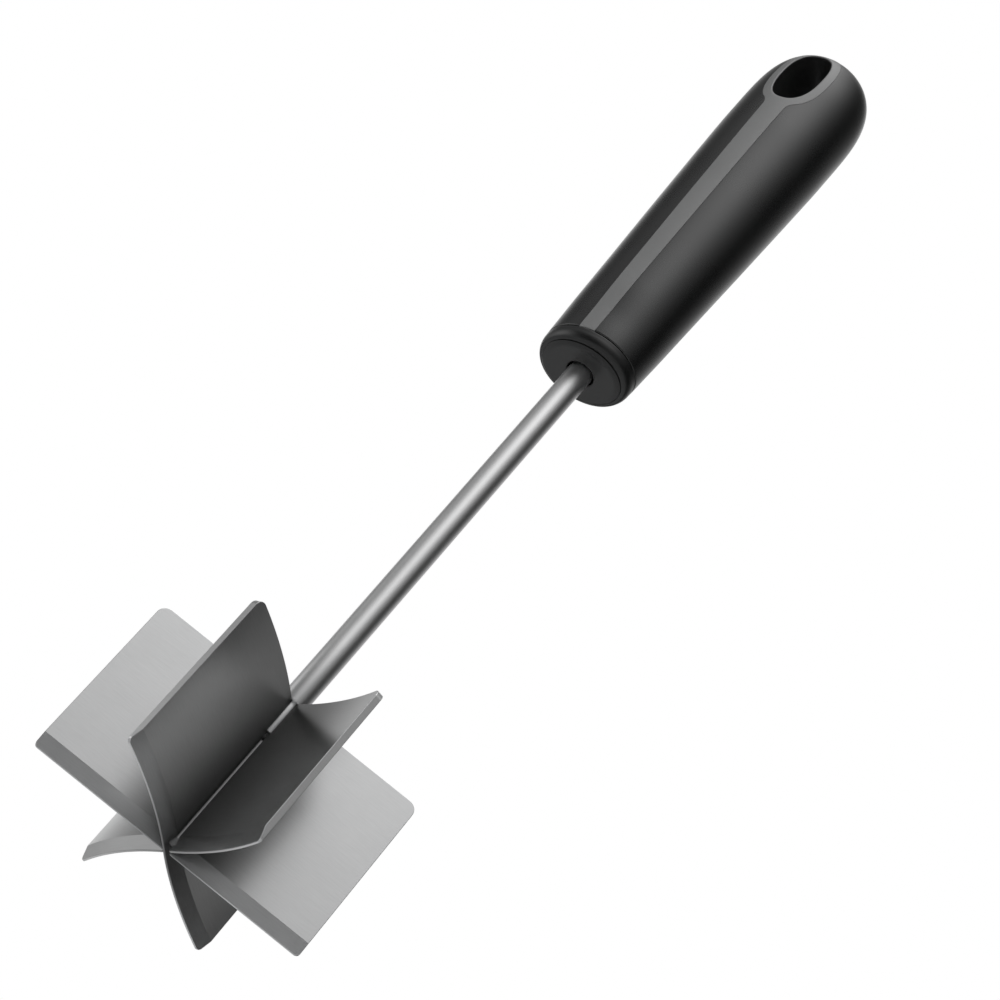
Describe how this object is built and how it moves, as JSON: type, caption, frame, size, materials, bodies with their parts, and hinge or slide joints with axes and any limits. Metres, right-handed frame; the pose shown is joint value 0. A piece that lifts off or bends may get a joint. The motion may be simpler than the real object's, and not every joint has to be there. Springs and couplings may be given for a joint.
{
  "type": "hand-held meat chopper and masher",
  "caption": "Hand-held chopper and masher: upright curved steel blades on a slim rod, thick two-material grip with a hanging eye.",
  "frame": {"origin": "centre of the cutting plane, on the axis of the rod", "axes": "+Z along the rod from the blades to the handle; -Y is the front of the handle; the hanging eye runs along Y"},
  "size_m": [0.059, 0.0628, 0.276],
  "materials": {
    "blade_steel": "satin rolled stainless sheet, ground edge",
    "rod_steel": "drawn bright stainless bar, satin",
    "cap_plastic": "satin black, moulded",
    "core_plastic": "satin black-grey, moulded",
    "grip_rubber": "matt soft-touch black"
  },
  "bodies": {
    "root": {"flat_blade_plate": "blade_steel", "curved_blade_plate_front": "blade_steel", "curved_blade_plate_rear": "blade_steel", "shaft_rod": "rod_steel", "nose_cap": "cap_plastic", "collar_ring": "cap_plastic", "handle_core": "core_plastic", "soft_grip": "grip_rubber"}
  },
  "joints": []
}
